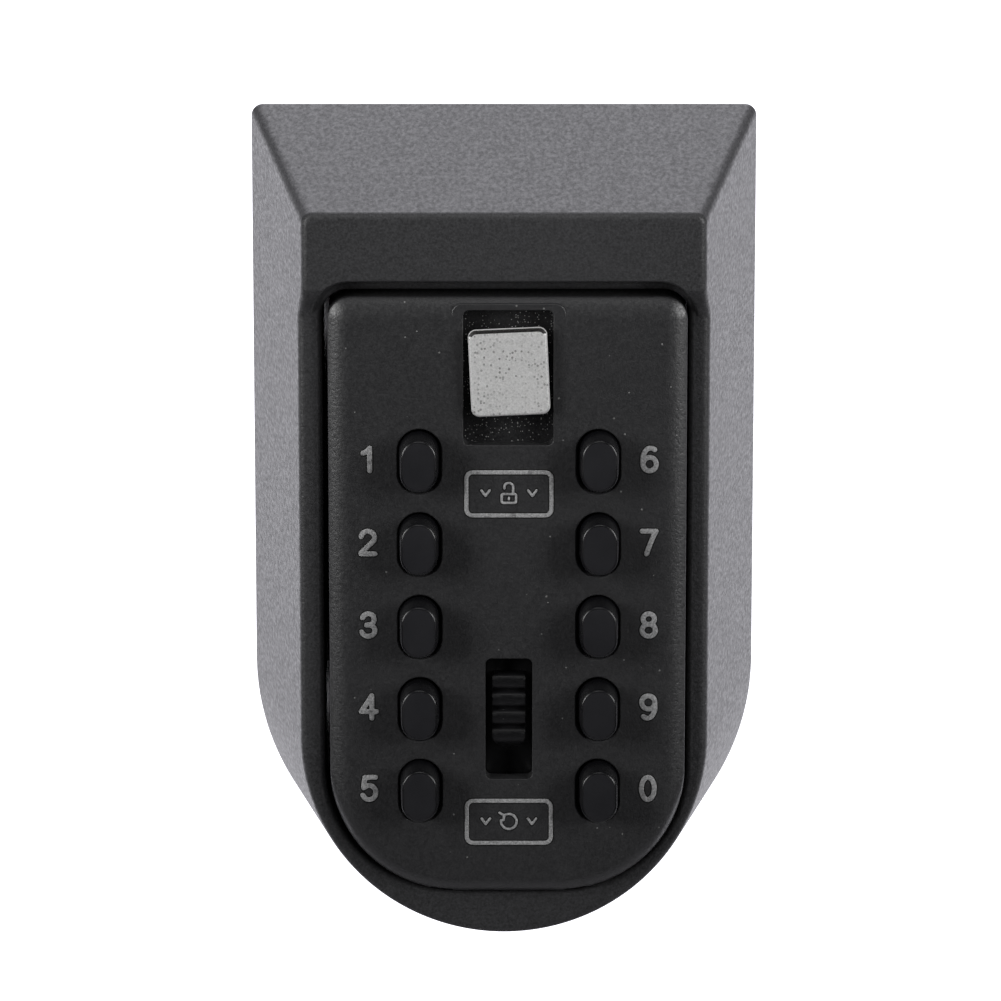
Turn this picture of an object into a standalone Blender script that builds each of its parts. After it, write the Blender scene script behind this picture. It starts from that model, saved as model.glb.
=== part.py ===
"""Push-button key lock box, wall mounted.

Frame: +X to the right of someone facing the box, +Z up, +Y into the wall.
The back of the housing lies in the plane y = 0 and the front faces -Y, so a
"depth" d below means y = -d.  Sizes are in millimetres and turned to metres
when the meshes are made.
"""
import math

import bmesh
import bpy

MM = 0.001

# ---- housing ---------------------------------------------------------------
BODY_W = 70.0            # width at the wall
BODY_H = 114.0           # height at the wall
RIM_D = 44.0             # depth of the flat rim round the door
BROW_D = 47.5            # depth of the brow over the door
SIDE_SLOPE = 0.178       # inset of the side and bottom walls per mm of depth
ROOF_SLOPE = 0.145       # drop of the roof per mm of depth
TOP_CORNER_R = 1.6
BACK_WALL = 3.0
OPEN_X = 0.2             # middle of the door opening
OPEN_HW = 24.25          # half width of the door opening
OPEN_TOP = 39.3
OPEN_BOT = -43.3
OPEN_BOT_R = 17.3
OPEN_TOP_R = 3.4
BROW_UNDER = 40.9        # underside of the brow
BROW_R = 5.4             # rounded corners of the brow's arch
BROW_ARC_HW = 25.7
# fall of the brow's surface to the rim at its two ends, as (z, depth)
BROW_FALL = ((35.4, 44.0), (36.4, 44.25), (37.3, 44.9), (38.1, 45.75),
             (38.9, 46.6), (39.8, 47.25), (40.8, 47.52))
MOUNT_HOLE_R = 2.6
MOUNT_XZ = (15.0, 27.0)

# ---- door ------------------------------------------------------------------
# The door and all it carries are drawn about x = 0 and then set DOOR_X to the
# right, where they hang in their side play.  The lid's outline lies LID_X
# from the middle of its own button pattern.
DOOR_X = 0.65
LID_X = -0.19
LID_HW = 23.75
LID_TOP = 38.7
LID_BOT = -43.0
LID_FACE = 46.5
LID_REAR = 31.0
LID_FILLET = 2.3
LID_TOP_R = 3.0
LID_BOT_R = 17.0
LID_PLATE = 2.8
LID_SKIRT = 2.0
PIVOT_D = LID_FACE - LID_FILLET   # hinge axis, at the centre of the
PIVOT_Z = LID_BOT + LID_FILLET    # door's rounded lower edge
ROD_R = 0.6
SEAT_R = 0.75
LUG_X = 9.0
LUG_W = 2.4

# ---- push buttons ----------------------------------------------------------
COL_X = 11.85
ROW_TOP = 16.6
ROW_PITCH = 11.3
HOLE_W, HOLE_H = 5.8, 8.8
CAP_D = 50.3
PRESS = 2.6
DIGITS = ("1", "2", "3", "4", "5", "6", "7", "8", "9", "0")

# ---- stack behind the door plate (depths, front then rear) -----------------
FLANGE = (43.4, 42.2)
SPRING = (42.0, 36.4)
GUIDE = (36.2, 35.2)
LATCH = (35.0, 34.0)
RESET = (33.8, 33.0)
BACK = (32.8, 31.6)
PIN_R = 1.6
PIN_ENDS = (45.3, 31.9)
BOLT_TIP = 41.8
BOLT_HW = 6.0
LEVER_TRAVEL = 3.8
CLEAR_TRAVEL = 4.0

BOSS = ((-18.3, 32.5), (18.3, 32.5), (-18.3, -27.5), (18.3, -27.5))


# ---- helpers ---------------------------------------------------------------
def clear_scene():
    for ob in list(bpy.data.objects):
        bpy.data.objects.remove(ob, do_unlink=True)
    for block in (bpy.data.meshes, bpy.data.curves, bpy.data.materials):
        for item in list(block):
            block.remove(item)


def material(name, colour, rough, metal):
    mat = bpy.data.materials.new(name)
    mat.use_nodes = True
    sh = mat.node_tree.nodes["Principled BSDF"]
    sh.inputs["Base Color"].default_value = (*colour, 1.0)
    sh.inputs["Roughness"].default_value = rough
    sh.inputs["Metallic"].default_value = metal
    return mat


def add(name, mesh, mat=None, at=(0.0, 0.0, 0.0)):
    """Object whose mesh is given in world millimetres about the point `at`."""
    ob = bpy.data.objects.new(name, mesh)
    bpy.context.scene.collection.objects.link(ob)
    ob.location = [c * MM for c in at]
    if mat is not None:
        mesh.materials.clear()
        mesh.materials.append(mat)
    return ob


def to_mesh(name, bm, smooth=True):
    bmesh.ops.remove_doubles(bm, verts=bm.verts, dist=1e-4)
    bmesh.ops.dissolve_degenerate(bm, edges=bm.edges, dist=1e-4)
    bmesh.ops.recalc_face_normals(bm, faces=bm.faces)
    bmesh.ops.scale(bm, vec=(MM, MM, MM), verts=bm.verts)
    mesh = bpy.data.meshes.new(name)
    bm.to_mesh(mesh)
    bm.free()
    if smooth:
        mesh.shade_smooth()
        mesh.set_sharp_from_angle(angle=math.radians(28))
    return mesh


def loft(name, loops, smooth=True):
    """Closed solid through loops of equal length, capped at both ends."""
    bm = bmesh.new()
    rings = [[bm.verts.new(p) for p in loop] for loop in loops]
    n = len(rings[0])
    for a, b in zip(rings, rings[1:]):
        for i in range(n):
            j = (i + 1) % n
            bm.faces.new((a[i], a[j], b[j], b[i]))
    bm.faces.new(rings[0])
    bm.faces.new(list(reversed(rings[-1])))
    return to_mesh(name, bm, smooth)


def at_depth(outline, d):
    return [(x, -d, z) for x, z in outline]


def plate(name, outline, d0, d1, smooth=True):
    return loft(name, [at_depth(outline, d0), at_depth(outline, d1)], smooth)


def arc(cx, cz, r, a0, a1, n):
    """n + 1 points from angle a0 to a1 in degrees."""
    out = []
    for i in range(n + 1):
        a = math.radians(a0 + (a1 - a0) * i / n)
        out.append((cx + r * math.cos(a), cz + r * math.sin(a)))
    return out


def door_outline(hw, top, bot, r_top, r_bot, n_top=4, n_bot=10, cx=0.0):
    """Outline with two small corners above and two large ones below."""
    pts = arc(cx + hw - r_top, top - r_top, r_top, 0, 90, n_top)
    pts += arc(cx - hw + r_top, top - r_top, r_top, 90, 180, n_top)
    pts += arc(cx - hw + r_bot, bot + r_bot, r_bot, 180, 270, n_bot)
    pts += arc(cx + hw - r_bot, bot + r_bot, r_bot, 270, 360, n_bot)
    return pts


def stadium(w, h, n=6, cx=0.0, cz=0.0):
    r = w / 2.0
    s = h / 2.0 - r
    return arc(cx, cz + s, r, 0, 180, n) + arc(cx, cz - s, r, 180, 360, n)


def circle(r, n=14, cx=0.0, cz=0.0):
    return [(cx + r * math.cos(2 * math.pi * i / n),
             cz + r * math.sin(2 * math.pi * i / n)) for i in range(n)]


def round_rect(x0, x1, z0, z1, r, n=3):
    return (arc(x1 - r, z1 - r, r, 0, 90, n) + arc(x0 + r, z1 - r, r, 90, 180, n)
            + arc(x0 + r, z0 + r, r, 180, 270, n)
            + arc(x1 - r, z0 + r, r, 270, 360, n))


def box(name, x0, x1, z0, z1, d0, d1):
    return plate(name, [(x0, z0), (x1, z0), (x1, z1), (x0, z1)], d0, d1, False)


def along_x(name, profile, x0, x1, smooth=False):
    """Solid with a (depth, z) profile run along X."""
    return loft(name, [[(x, -d, z) for d, z in profile] for x in (x0, x1)],
                smooth)


def coil(name, r, wire, length, turns, axis, per_turn=9, sides=3):
    """Compression spring from the origin along +axis ('X', 'Y' or 'Z')."""
    steps = int(turns * per_turn)
    rise = length - wire
    loops = []
    for k in range(steps + 1):
        t = k / steps
        a = 2 * math.pi * turns * t
        along = wire / 2 + rise * t
        loop = []
        for s in range(sides):
            b = 2 * math.pi * (s + 0.5) / sides
            rad = r + wire * 0.5 * math.cos(b)
            h = along + wire * 0.5 * math.sin(b)
            u, v = rad * math.cos(a), rad * math.sin(a)
            loop.append((u, h, v) if axis == "Y" else (u, v, h))
        loops.append(loop)
    return loft(name, loops)


def carve(mesh, tools):
    """Mesh after Boolean steps; tools is a list of (operation, tool mesh)."""
    base = bpy.data.objects.new("base", mesh)
    bpy.context.scene.collection.objects.link(base)
    made = []
    for op, tool in tools:
        cutter = bpy.data.objects.new("cutter", tool)
        bpy.context.scene.collection.objects.link(cutter)
        cutter.hide_render = True
        cutter.display_type = "WIRE"
        mod = base.modifiers.new("boolean", "BOOLEAN")
        mod.operation = op
        mod.solver = "EXACT"
        mod.object = cutter
        made.append(cutter)
    graph = bpy.context.evaluated_depsgraph_get()
    graph.update()
    out = bpy.data.meshes.new_from_object(base.evaluated_get(graph))
    for ob in made + [base]:
        data = ob.data
        bpy.data.objects.remove(ob, do_unlink=True)
        bpy.data.meshes.remove(data)
    bm = bmesh.new()
    bm.from_mesh(out)
    bpy.data.meshes.remove(out)
    bmesh.ops.remove_doubles(bm, verts=bm.verts, dist=1e-7)
    bmesh.ops.dissolve_degenerate(bm, edges=bm.edges, dist=1e-7)
    bmesh.ops.triangulate(bm, faces=[f for f in bm.faces if len(f.verts) > 4])
    mesh = bpy.data.meshes.new("carved")
    bm.to_mesh(mesh)
    bm.free()
    mesh.shade_smooth()
    mesh.set_sharp_from_angle(angle=math.radians(28))
    return mesh


CUT, JOIN = "DIFFERENCE", "UNION"


def button_places():
    """(digit, x, z) of the ten push buttons."""
    out = []
    for i, digit in enumerate(DIGITS):
        x = -COL_X if i < 5 else COL_X
        out.append((digit, x, ROW_TOP - ROW_PITCH * (i % 5)))
    return out


# ---- pieces ----------------------------------------------------------------
def body_outline(d, inset=0.0):
    hw = BODY_W / 2 - SIDE_SLOPE * d - inset
    top = BODY_H / 2 - ROOF_SLOPE * d - inset
    cz = -BODY_H / 2 + BODY_W / 2
    r = TOP_CORNER_R
    pts = arc(hw - r, top - r, r, 0, 90, 3)
    pts += arc(-hw + r, top - r, r, 90, 180, 3)
    pts += arc(0.0, cz, hw, 180, 360, 30)
    return pts


def make_housing(mat):
    loops = [at_depth(body_outline(0.0, 0.5), 0.0),
             at_depth(body_outline(0.5), 0.5),
             at_depth(body_outline(BROW_D - 0.6), BROW_D - 0.6),
             at_depth(body_outline(BROW_D, 0.5), BROW_D)]
    base = loft("housing_base", loops)
    tools = []
    # the brow ends in an arch over the door, a flat underside with rounded
    # corners, and at both ends its surface falls away to the rim
    top = BROW_D + 3.0
    fall = [(d, z) for z, d in BROW_FALL]
    fall = [(RIM_D, -70.0)] + fall + [(top, BROW_FALL[-1][0]), (top, -70.0)]
    tools.append((CUT, along_x("t", fall, -45.0, 45.0)))
    az = BROW_UNDER - BROW_R
    ax = BROW_ARC_HW - BROW_R
    arch = arc(ax, az, BROW_R, 0, 90, 7) + arc(-ax, az, BROW_R, 90, 180, 7)
    arch += [(-BROW_ARC_HW, 20.0), (BROW_ARC_HW, 20.0)]
    tools.append((CUT, plate("t", arch, RIM_D, top)))
    cavity = door_outline(OPEN_HW, OPEN_TOP, OPEN_BOT, OPEN_TOP_R, OPEN_BOT_R,
                          cx=OPEN_X)
    tools.append((CUT, plate("t", cavity, BACK_WALL, RIM_D + 6.0)))
    # eased edge all round the opening
    flare = [at_depth(door_outline(OPEN_HW + s, OPEN_TOP + s, OPEN_BOT - s,
                                   OPEN_TOP_R + s, OPEN_BOT_R + s, cx=OPEN_X), d)
             for s, d in ((-0.05, RIM_D - 0.7), (0.6, RIM_D - 0.05),
                          (0.6, RIM_D + 1.0))]
    tools.append((CUT, loft("t", flare)))
    # keeper for the bolt, behind the lip at the top of the opening
    tools.append((CUT, box("t", DOOR_X - 7.0, DOOR_X + 7.0, 37.0, 42.6,
                           32.3, 35.3)))
    for sx in (-1, 1):
        for sz in (-1, 1):
            hole = circle(MOUNT_HOLE_R, 16, sx * MOUNT_XZ[0], sz * MOUNT_XZ[1])
            tools.append((CUT, plate("t", hole, -2.0, BACK_WALL + 2.0)))
    # two hooks that carry the hinge rod, open at the top
    p, q = PIVOT_D, PIVOT_Z
    seat = [(p + SEAT_R * math.cos(math.radians(a)),
             q - SEAT_R * math.sin(math.radians(a))) for a in range(0, 181, 30)]
    hook = ([(27.0, OPEN_BOT - 1.5), (p - 3.7, OPEN_BOT - 1.5), (p - 3.7, q - 1.1),
             (p + 0.3, q - 1.1), (p + 0.85, q - 0.8), (p + 1.15, q),
             (p + 1.1, q + 0.9), (p + SEAT_R, q + 0.9)]
            + seat + [(p - SEAT_R, q + 0.9), (27.0, q + 0.9)])
    for sx in (-1, 1):
        x = DOOR_X + sx * LUG_X
        tools.append((JOIN, along_x("t", hook, x - LUG_W / 2, x + LUG_W / 2)))
    return add("housing", carve(base, tools), mat)


def make_lid(mat):
    hw, top, bot = LID_HW, LID_TOP, LID_BOT
    f = LID_FILLET
    loops = [at_depth(door_outline(hw, top, bot, LID_TOP_R, LID_BOT_R,
                                   cx=LID_X), LID_REAR)]
    for a in (0, 22.5, 45, 67.5, 90):
        t = math.radians(a)
        s = f * (1 - math.cos(t))
        loops.append(at_depth(door_outline(
            hw - s, top - s, bot + s, LID_TOP_R - s, LID_BOT_R - s, cx=LID_X),
            LID_FACE - f + f * math.sin(t)))
    base = loft("lid_base", loops)
    w = LID_SKIRT
    inner = door_outline(hw - w, top - w, bot + w, 1.2, LID_BOT_R - w, 3, 10,
                         LID_X)
    inside = LID_FACE - LID_PLATE
    tools = [(CUT, plate("t", inner, LID_REAR - 3.0, inside))]
    # floor of the lever recess, rod bar, spring posts and screw posts
    tools.append((JOIN, box("t", -7.6, 7.6, 17.4, 37.6, 42.4, 44.6)))
    tools.append((JOIN, box("t", -12.5, 12.5, -41.8, -37.9, 42.3, 44.5)))
    tools.append((JOIN, box("t", -2.6, 2.6, 8.4, 9.8, 37.5, 44.5)))
    tools.append((JOIN, box("t", -2.6, 2.6, -41.9, -38.5, 37.5, 44.5)))
    for x, z in BOSS:
        tools.append((JOIN, plate("t", circle(2.6, 16, x, z), 36.3, 44.5)))
        tools.append((JOIN, plate("t", circle(1.9, 16, x, z), 32.9, 37.3)))
        tools.append((CUT, plate("t", circle(1.15, 12, x, z), 32.0, 38.5)))
    for _, x, z in button_places():
        tools.append((CUT, plate("t", stadium(HOLE_W, HOLE_H, 6, x, z),
                                 43.0, 48.0)))
    tools.append((CUT, plate("t", round_rect(-5.95, 5.95, 18.9, 37.0, 1.1),
                             43.9, 48.0)))
    tools.append((CUT, box("t", -2.9, 2.9, 22.9, 32.9, 41.0, 45.0)))
    tools.append((CUT, plate("t", round_rect(-3.2, 3.2, -26.8, -10.2, 1.0),
                             43.0, 48.0)))
    tools.append((CUT, box("t", -6.3, 6.3, 35.6, 40.0, 32.8, 35.3)))
    # rod bore, open at the right side, and the two notches for the hooks
    rod = [(PIVOT_D + SEAT_R * math.cos(2 * math.pi * i / 12),
            PIVOT_Z + SEAT_R * math.sin(2 * math.pi * i / 12)) for i in range(12)]
    tools.append((CUT, along_x("t", rod, -12.4, 18.0)))
    for sx in (-1, 1):
        x = sx * LUG_X
        tools.append((CUT, box("t", x - 1.5, x + 1.5, -44.0, -38.9, 30.0, 45.5)))
    return add("lid", carve(base, tools), mat)


def make_buttons(mat):
    """One cap with its flange and the blind bore for the code pin."""
    loops = [at_depth(circle(1.85, 14), 45.6), at_depth(circle(1.85, 14), FLANGE[1]),
             at_depth(stadium(7.0, 10.2), FLANGE[1]),
             at_depth(stadium(7.0, 10.2), FLANGE[0]),
             at_depth(stadium(5.3, 7.9), FLANGE[0]),
             at_depth(stadium(5.3, 7.9), LID_FACE)]
    for s, d in ((0.0, CAP_D - 0.4), (0.12, CAP_D - 0.12), (0.4, CAP_D)):
        loops.append(at_depth(stadium(4.9 - 2 * s, 7.0 - 2 * s), d))
    mesh = loft("button_cap", loops)
    made = []
    for digit, x, z in button_places():
        made.append(add("button_" + digit, mesh, mat, (x, 0.0, z)))
    return made


def make_pins(mat):
    """Rod with two half notches on opposite sides and a driver slot."""
    full = circle(PIN_R, 14)
    low = [(max(x, -0.3), z) for x, z in full]
    high = [(min(x, 0.3), z) for x, z in full]
    rest = (LATCH[0] + 0.25, LATCH[1] - 0.25)
    deep = (rest[0] + PRESS, rest[1] + PRESS)
    loops = [at_depth(full, PIN_ENDS[0]),
             at_depth(full, deep[0]), at_depth(high, deep[0]),
             at_depth(high, deep[1]), at_depth(full, deep[1]),
             at_depth(full, rest[0]), at_depth(low, rest[0]),
             at_depth(low, rest[1]), at_depth(full, rest[1]),
             at_depth(full, PIN_ENDS[1])]
    base = loft("pin_base", loops)
    slot = box("t", -2.2, 2.2, -0.35, 0.35, PIN_ENDS[1] - 1.0, PIN_ENDS[1] + 0.8)
    mesh = carve(base, [(CUT, slot)])
    for digit, x, z in button_places():
        add("code_pin_" + digit, mesh, mat, (x, 0.0, z))


def make_button_springs(mat):
    length = SPRING[0] - SPRING[1]
    mesh = coil("button_coil", 2.35, 0.45, length, 3.5, "Y")
    for digit, x, z in button_places():
        add("button_spring_" + digit, mesh, mat, (x, -SPRING[0], z))


def plate_outline(hw=21.35):
    return door_outline(hw, 36.3, -38.3, 1.0, 13.0, 2, 8, LID_X)


def make_guide(mat):
    tools = [(CUT, plate("t", circle(2.0, 12, x, z), 30.0, 40.0))
             for _, x, z in button_places()]
    tools += [(CUT, plate("t", circle(2.15, 16, x, z), 30.0, 40.0))
              for x, z in BOSS]
    tools.append((CUT, box("t", -3.1, 3.1, 22.7, 33.1, 30.0, 40.0)))
    tools.append((CUT, box("t", -2.0, 2.0, -24.4, -15.6, 30.0, 40.0)))
    base = plate("guide_base", plate_outline(), GUIDE[1], GUIDE[0])
    return add("guide_plate", carve(base, tools), mat)


def make_latch(mat):
    """Flat plate with ten keyholes, and the bolt rising from its top edge."""
    outline = round_rect(-15.2, 15.2, -33.0, 25.0, 1.0)
    base = plate("latch_base", outline, LATCH[1], LATCH[0])
    tools = [(JOIN, box("t", -BOLT_HW, BOLT_HW, 22.0, 36.0, LATCH[1], LATCH[0])),
             (JOIN, box("t", -BOLT_HW, BOLT_HW, 28.4, BOLT_TIP, 33.1, LATCH[0]))]
    for _, x, z in button_places():
        hole = circle(2.0, 12, x, z)
        top = z + LEVER_TRAVEL
        slot = [(x - 0.55, z), (x + 1.95, z)]
        slot += arc(x, top, 1.95, 0, 106, 5)
        tools.append((CUT, plate("t", hole, 30.0, 40.0)))
        tools.append((CUT, plate("t", slot, 29.0, 41.0)))
    tools.append((CUT, box("t", -2.0, 2.0, -24.5, -11.7, 30.0, 40.0)))
    return add("latch_plate", carve(base, tools), mat)


def make_lever(mat):
    """Finger lever with the neck that joins it to the latch plate."""
    x, z0, z1 = 5.35, 23.1, 35.0
    loops = []
    for s, d in ((0.3, 45.2), (0.0, 45.5), (0.0, 47.4), (0.18, 47.82), (0.6, 48.0)):
        loops.append(at_depth(round_rect(-x + s, x - s, z0 + s, z1 - s, 1.0), d))
    base = loft("lever_base", loops)
    neck = box("t", -2.6, 2.6, 27.0, 32.5, LATCH[0] + 0.1, 46.0)
    return add("open_lever", carve(base, [(JOIN, neck)]), mat)


def make_slider(mat):
    """Ribbed thumb slider with its flange, stem and spring tab."""
    base = box("slider_base", -4.6, 4.6, -28.0, -5.0, FLANGE[1], FLANGE[0])
    top, bottom, ridges = -12.7, -22.4, 4
    pitch = (top - bottom) / ridges
    profile = [(42.8, top)]
    for k in range(ridges):
        z = top - k * pitch
        profile += [(45.7, z - 0.1), (46.0, z - 0.4), (46.0, z - pitch + 0.75),
                    (45.7, z - pitch + 0.45), (45.2, z - pitch + 0.3)]
        if k < ridges - 1:
            profile.append((45.2, z - pitch))
    profile[-1] = (45.6, bottom)
    profile.append((42.8, bottom))
    tools = [(JOIN, along_x("t", profile, -2.2, 2.2)),
             (JOIN, box("t", -1.5, 1.5, -20.0, -16.0, RESET[0] + 0.1, 42.8)),
             (JOIN, box("t", -2.4, 2.4, -28.0, -26.6, 38.0, 42.8))]
    return add("clear_slider", carve(base, tools), mat)


def make_reset(mat):
    base = plate("reset_base", round_rect(-15.2, 15.2, -33.0, 24.2, 1.0),
                 RESET[1], RESET[0])
    tools = []
    for _, x, z in button_places():
        r = 2.0
        slot = arc(x, z + CLEAR_TRAVEL, r, 0, 180, 6) + arc(x, z, r, 180, 360, 6)
        tools.append((CUT, plate("t", slot, 30.0, 40.0)))
    return add("reset_plate", carve(base, tools), mat)


def make_back(mat):
    base = plate("back_base", plate_outline(), BACK[1], BACK[0])
    tools = [(CUT, plate("t", circle(2.0, 12, x, z), 28.0, 36.0))
             for _, x, z in button_places()]
    tools += [(CUT, plate("t", circle(1.25, 12, x, z), 28.0, 36.0))
              for x, z in BOSS]
    return add("back_plate", carve(base, tools), mat)


def make_screws(mat):
    d = BACK[1] - 0.1
    loops = [at_depth(circle(1.6, 12), d - 1.2), at_depth(circle(2.0, 12), d - 0.9),
             at_depth(circle(2.0, 12), d), at_depth(circle(0.95, 12), d),
             at_depth(circle(0.95, 12), 37.3), at_depth(circle(0.5, 12), 37.9)]
    base = loft("screw_base", loops)
    tools = [(CUT, box("t", -1.1, 1.1, -0.25, 0.25, d - 2.0, d - 0.5)),
             (CUT, box("t", -0.25, 0.25, -1.1, 1.1, d - 2.1, d - 0.5))]
    mesh = carve(base, tools)
    names = ("upper_left", "upper_right", "lower_left", "lower_right")
    for name, (x, z) in zip(names, BOSS):
        add("back_screw_" + name, mesh, mat, (x, 0.0, z))


def main():
    clear_scene()
    coat = material("powder_coat", (0.062, 0.062, 0.062), 0.55, 0.35)
    coat_lid = material("powder_coat_door", (0.045, 0.045, 0.046), 0.5, 0.3)
    black = material("gloss_plastic", (0.012, 0.012, 0.013), 0.22, 0.0)
    black_slider = material("satin_plastic", (0.016, 0.016, 0.017), 0.35, 0.0)
    zinc = material("plated_zinc", (0.62, 0.62, 0.6), 0.3, 1.0)
    brass = material("brass", (0.72, 0.53, 0.24), 0.35, 1.0)
    spring = material("spring_steel", (0.5, 0.5, 0.5), 0.3, 1.0)
    sheet = material("zinc_plated_sheet", (0.56, 0.57, 0.58), 0.38, 1.0)
    sheet_b = material("zinc_plated_sheet_latch", (0.6, 0.6, 0.58), 0.34, 1.0)
    sheet_c = material("zinc_plated_sheet_reset", (0.5, 0.51, 0.52), 0.4, 1.0)
    cover = material("black_sheet", (0.05, 0.05, 0.05), 0.45, 0.6)
    screw = material("screw_steel", (0.45, 0.45, 0.45), 0.35, 1.0)
    rod = material("rod_steel", (0.55, 0.55, 0.55), 0.3, 1.0)

    make_housing(coat)
    make_lid(coat_lid)
    # hinge rod, turned along X on the door's hinge axis
    prof = [(ROD_R * math.cos(2 * math.pi * i / 12),
             ROD_R * math.sin(2 * math.pi * i / 12)) for i in range(12)]
    add("hinge_rod", along_x("rod", prof, -12.2, 12.2, True), rod,
        (0.0, -PIVOT_D, PIVOT_Z))
    make_buttons(black)
    make_button_springs(spring)
    make_pins(brass)
    make_guide(sheet)
    make_latch(sheet_b)
    make_lever(zinc)
    add("lever_spring", coil("lever_coil", 1.95, 0.5, 16.7, 7, "Z"), spring,
        (0.0, -39.7, 10.0))
    make_slider(black_slider)
    make_reset(sheet_c)
    add("clear_spring", coil("clear_coil", 1.65, 0.45, 10.1, 5, "Z"), spring,
        (0.0, -40.1, -38.4))
    make_back(cover)
    make_screws(screw)
    for ob in bpy.data.objects:
        if ob.name != "housing":
            ob.location.x += DOOR_X * MM


main()
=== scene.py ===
"""Looks of the key lock box: fine meshes, materials, light and camera.

Lengths below are millimetres unless a name says otherwise; "depth" d is the
distance from the wall plane towards the front, so y = -d.
"""
import math
import random

import bmesh
import bpy
import mathutils
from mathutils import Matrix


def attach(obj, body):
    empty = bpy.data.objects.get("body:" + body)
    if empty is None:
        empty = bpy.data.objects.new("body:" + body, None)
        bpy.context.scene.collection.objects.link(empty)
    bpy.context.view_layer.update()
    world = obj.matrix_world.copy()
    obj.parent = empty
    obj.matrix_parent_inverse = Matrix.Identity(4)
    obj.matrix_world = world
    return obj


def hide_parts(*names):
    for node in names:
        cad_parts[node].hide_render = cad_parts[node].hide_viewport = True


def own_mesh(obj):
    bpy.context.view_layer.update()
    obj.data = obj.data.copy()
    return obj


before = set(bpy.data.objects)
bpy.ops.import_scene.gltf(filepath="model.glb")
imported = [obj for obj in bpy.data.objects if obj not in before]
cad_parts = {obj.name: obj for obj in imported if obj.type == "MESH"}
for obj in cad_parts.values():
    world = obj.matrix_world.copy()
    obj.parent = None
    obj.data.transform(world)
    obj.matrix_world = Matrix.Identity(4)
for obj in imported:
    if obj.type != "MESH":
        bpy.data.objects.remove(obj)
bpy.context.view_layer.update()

MM = 0.001
random.seed(7)

# ---- the CAD model's own sizes, repeated -----------------------------------
BODY_W, BODY_H = 70.0, 114.0
RIM_D, BROW_D = 44.0, 47.5
SIDE_SLOPE, ROOF_SLOPE = 0.178, 0.145
TOP_CORNER_R = 1.6
BACK_WALL = 3.0
OPEN_X, OPEN_HW, OPEN_TOP, OPEN_BOT = 0.2, 24.25, 39.3, -43.3
OPEN_BOT_R, OPEN_TOP_R = 17.3, 3.4
BROW_UNDER, BROW_R, BROW_ARC_HW = 40.9, 5.4, 25.7
DOOR_X, LID_X = 0.65, -0.19
LID_HW, LID_TOP, LID_BOT = 23.75, 38.7, -43.0
LID_FACE, LID_REAR, LID_FILLET = 46.5, 31.0, 2.3
LID_TOP_R, LID_BOT_R, LID_PLATE, LID_SKIRT = 3.0, 17.0, 2.8, 2.0
PIVOT_D, PIVOT_Z = 44.2, -40.7
SEAT_R = 0.75
COL_X, ROW_TOP, ROW_PITCH = 11.85, 16.6, 11.3
HOLE_W, HOLE_H, CAP_D = 5.8, 8.8, 50.3
DIGITS = ("1", "2", "3", "4", "5", "6", "7", "8", "9", "0")
BOSS = ((-18.3, 32.5), (18.3, 32.5), (-18.3, -27.5), (18.3, -27.5))


# ---- mesh helpers ----------------------------------------------------------
def arc(cx, cz, r, a0, a1, n):
    out = []
    for i in range(n + 1):
        a = math.radians(a0 + (a1 - a0) * i / n)
        out.append((cx + r * math.cos(a), cz + r * math.sin(a)))
    return out


def circle(r, n=32, cx=0.0, cz=0.0):
    return [(cx + r * math.cos(2 * math.pi * i / n),
             cz + r * math.sin(2 * math.pi * i / n)) for i in range(n)]


def stadium(w, h, n=24, cx=0.0, cz=0.0):
    r = w / 2.0
    s = h / 2.0 - r
    return arc(cx, cz + s, r, 0, 180, n) + arc(cx, cz - s, r, 180, 360, n)


def round_rect(x0, x1, z0, z1, r, n=8):
    return (arc(x1 - r, z1 - r, r, 0, 90, n) + arc(x0 + r, z1 - r, r, 90, 180, n)
            + arc(x0 + r, z0 + r, r, 180, 270, n)
            + arc(x1 - r, z0 + r, r, 270, 360, n))


def door_outline(hw, top, bot, r_top, r_bot, cx=0.0, n_top=12, n_bot=36):
    pts = arc(cx + hw - r_top, top - r_top, r_top, 0, 90, n_top)
    pts += arc(cx - hw + r_top, top - r_top, r_top, 90, 180, n_top)
    pts += arc(cx - hw + r_bot, bot + r_bot, r_bot, 180, 270, n_bot)
    pts += arc(cx + hw - r_bot, bot + r_bot, r_bot, 270, 360, n_bot)
    return pts


def at_depth(outline, d):
    return [(x, -d, z) for x, z in outline]


def shade(mesh, angle=30):
    mesh.shade_smooth()
    mesh.set_sharp_from_angle(angle=math.radians(angle))
    return mesh


def finish_bm(bm, angle=30):
    bmesh.ops.remove_doubles(bm, verts=bm.verts, dist=1e-4)
    bmesh.ops.dissolve_degenerate(bm, edges=bm.edges, dist=1e-4)
    bmesh.ops.recalc_face_normals(bm, faces=bm.faces)
    bmesh.ops.scale(bm, vec=(MM, MM, MM), verts=bm.verts)
    mesh = bpy.data.meshes.new("mesh")
    bm.to_mesh(mesh)
    bm.free()
    return shade(mesh, angle)


def loft(loops, angle=30):
    bm = bmesh.new()
    rings = [[bm.verts.new(p) for p in loop] for loop in loops]
    n = len(rings[0])
    for a, b in zip(rings, rings[1:]):
        for i in range(n):
            j = (i + 1) % n
            bm.faces.new((a[i], a[j], b[j], b[i]))
    bm.faces.new(rings[0])
    bm.faces.new(list(reversed(rings[-1])))
    return finish_bm(bm, angle)


def plate(outline, d0, d1):
    return loft([at_depth(outline, d0), at_depth(outline, d1)])


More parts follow.
